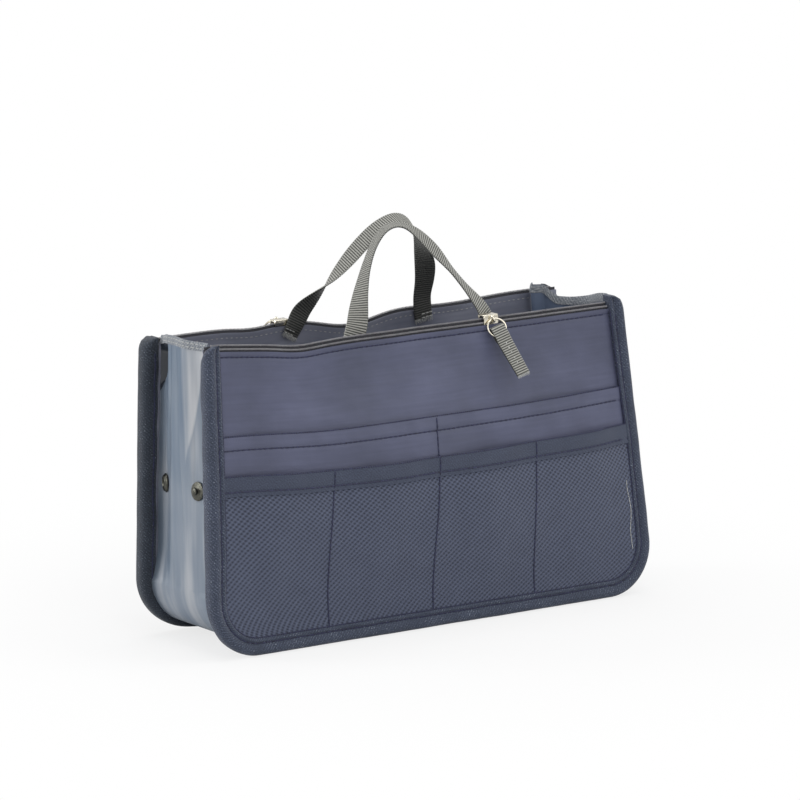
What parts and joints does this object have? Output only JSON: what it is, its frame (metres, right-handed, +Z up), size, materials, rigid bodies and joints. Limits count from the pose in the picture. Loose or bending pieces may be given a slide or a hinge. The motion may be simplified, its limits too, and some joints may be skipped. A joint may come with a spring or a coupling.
{
  "type": "toiletry bag",
  "caption": "Soft upright toiletry bag with zipped walls, mesh and slot pockets, snap side gussets and webbing handles, open at the top.",
  "frame": {"origin": "on the floor under the middle of the bag's box", "axes": "+X along the bag's length, +Y from the front wall to the back wall, +Z up"},
  "size_m": [0.2816, 0.0982, 0.2105],
  "materials": {
    "nylon": "satin woven nylon",
    "mesh": "knitted polyester mesh",
    "binding": "woven binding tape",
    "foam": "soft foam interlining",
    "gusset": "coated glossy nylon",
    "zip_tape": "woven zip tape",
    "zip_coil": "polyester coil",
    "webbing": "ribbed polypropylene webbing",
    "nickel": "nickel plate",
    "gunmetal": "dark plated steel"
  },
  "bodies": {
    "bag": {"front_foam_pad": "foam", "front_outer_panel": "nylon", "front_inner_panel": "nylon", "front_slot_pocket": "nylon", "front_mesh_pocket": "mesh", "front_mesh_hem": "binding", "front_binding": "binding", "front_zip_outer_tape": "zip_tape", "front_zip_outer_coil": "zip_coil", "front_zip_inner_tape": "zip_tape", "front_zip_inner_coil": "zip_coil", "front_handle_left_tail": "webbing", "front_handle_right_tail": "webbing", "back_foam_pad": "foam", "back_outer_panel": "nylon", "back_inner_panel": "nylon", "back_slot_pocket": "nylon", "back_mesh_pocket": "mesh", "back_mesh_hem": "binding", "back_binding": "binding", "back_zip_outer_tape": "zip_tape", "back_zip_outer_coil": "zip_coil", "back_zip_inner_tape": "zip_tape", "back_zip_inner_coil": "zip_coil", "back_handle_left_tail": "webbing", "back_handle_right_tail": "webbing", "left_gusset": "gusset", "left_gusset_hem": "binding", "left_snap_socket": "gunmetal", "left_snap_stud": "gunmetal", "left_socket_cap": "gunmetal", "left_stud_cap": "gunmetal", "right_gusset": "gusset", "right_gusset_hem": "binding", "right_snap_socket": "gunmetal", "right_snap_stud": "gunmetal", "right_socket_cap": "gunmetal", "right_stud_cap": "gunmetal", "base_panel": "gusset"},
    "front_slider": {"front_zip_slider": "nickel"},
    "front_pull": {"front_pull_ring": "nickel", "front_pull_tab": "webbing"},
    "front_grip": {"front_handle": "webbing"},
    "back_slider": {"back_zip_slider": "nickel"},
    "back_pull": {"back_pull_ring": "nickel", "back_pull_tab": "webbing"},
    "back_grip": {"back_handle": "webbing"}
  },
  "joints": [
    {"name": "front_zip", "type": "slide", "parent": "bag", "child": "front_slider", "axis": [1, 0, 0], "range_m": [-0.165, 0.07]},
    {"name": "front_pull_swing", "type": "hinge", "parent": "front_slider", "child": "front_pull", "pos_m": [0.0475, -0.02492, 0.1552], "axis": [-0.8829, 0, -0.4695], "range_deg": [0, 95]},
    {"name": "front_handle_swing", "type": "hinge", "parent": "bag", "child": "front_grip", "pos_m": [0, -0.01712, 0.16], "axis": [1, 0, 0], "range_deg": [0, 65.5]},
    {"name": "back_zip", "type": "slide", "parent": "bag", "child": "back_slider", "axis": [-1, 0, 0], "range_m": [-0.165, 0.07]},
    {"name": "back_pull_swing", "type": "hinge", "parent": "back_slider", "child": "back_pull", "pos_m": [-0.0475, 0.03768, 0.1552], "axis": [0.8829, 0, -0.4695], "range_deg": [0, 105]},
    {"name": "back_handle_swing", "type": "hinge", "parent": "bag", "child": "back_grip", "pos_m": [0, 0.02988, 0.16], "axis": [-1, 0, 0], "range_deg": [0, 65.5]}
  ]
}
